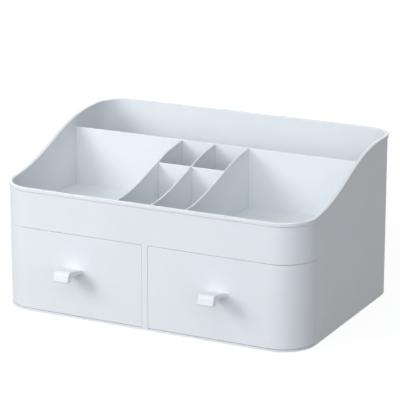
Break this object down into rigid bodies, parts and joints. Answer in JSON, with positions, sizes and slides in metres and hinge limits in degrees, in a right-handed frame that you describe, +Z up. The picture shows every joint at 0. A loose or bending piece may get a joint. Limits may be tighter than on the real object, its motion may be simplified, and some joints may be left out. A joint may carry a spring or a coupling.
{
  "type": "cosmetic organizer box",
  "caption": "Cosmetic organizer box with a swept rim, an open divided tray on top and drawers with hooked pulls below.",
  "frame": {"origin": "on the table plane, under the middle of the whole box with its pulls", "axes": "+X to the user's right, +Y from the drawer fronts to the back, +Z up"},
  "size_m": [0.3318, 0.2608, 0.1675],
  "materials": {
    "housing_plastic": "satin moulded white",
    "tray_plastic": "satin moulded white",
    "drawer_plastic": "satin moulded white",
    "drawer_box_plastic": "fine matte moulded white",
    "foot_rubber": "soft grey",
    "screw_steel": "plain zinc"
  },
  "bodies": {
    "housing": {"housing": "housing_plastic", "tray": "tray_plastic", "rear_divider": "tray_plastic", "long_divider_left": "tray_plastic", "long_divider_centre": "tray_plastic", "long_divider_right": "tray_plastic", "cross_divider": "tray_plastic", "base_plate": "housing_plastic", "centre_partition": "housing_plastic", "foot_front_left": "foot_rubber", "foot_front_right": "foot_rubber", "foot_rear_left": "foot_rubber", "foot_rear_right": "foot_rubber", "base_screws": "screw_steel"},
    "drawer_left": {"drawer_box_left": "drawer_box_plastic", "drawer_front_left": "drawer_plastic", "pull_left": "drawer_plastic", "pull_screw_left": "screw_steel"},
    "drawer_right": {"drawer_box_right": "drawer_box_plastic", "drawer_front_right": "drawer_plastic", "pull_right": "drawer_plastic", "pull_screw_right": "screw_steel"}
  },
  "joints": [
    {"name": "drawer_left_slide", "type": "slide", "parent": "housing", "child": "drawer_left", "axis": [0, -1, 0], "range_m": [0, 0.15]},
    {"name": "drawer_right_slide", "type": "slide", "parent": "housing", "child": "drawer_right", "axis": [0, -1, 0], "range_m": [0, 0.15]}
  ]
}
